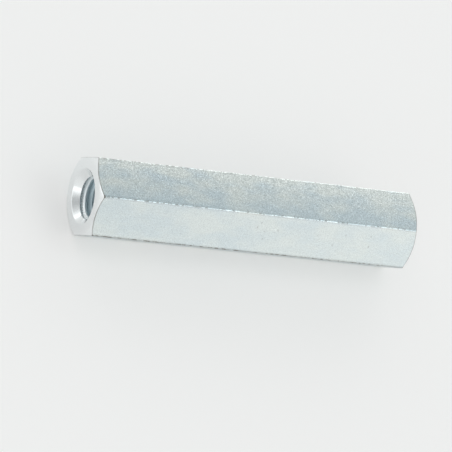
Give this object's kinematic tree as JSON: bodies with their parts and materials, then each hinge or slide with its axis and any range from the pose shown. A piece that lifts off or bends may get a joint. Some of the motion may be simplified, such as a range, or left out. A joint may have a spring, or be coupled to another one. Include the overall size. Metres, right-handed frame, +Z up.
{
  "type": "coupling nut",
  "caption": "Long hexagon coupling nut with chamfered ends and a countersunk threaded bore right through it, for joining threaded rods end to end.",
  "frame": {"origin": "centre of the nut, on the bore's axis halfway between the end faces", "axes": "+X along the bore towards one end face, +Z up out of the flat opposite the one it lies on, +Y out over a long edge"},
  "size_m": [0.06, 0.015, 0.013],
  "materials": {
    "zinc_plated_steel": "satin"
  },
  "bodies": {
    "root": {"coupling_nut": "zinc_plated_steel"}
  },
  "joints": []
}
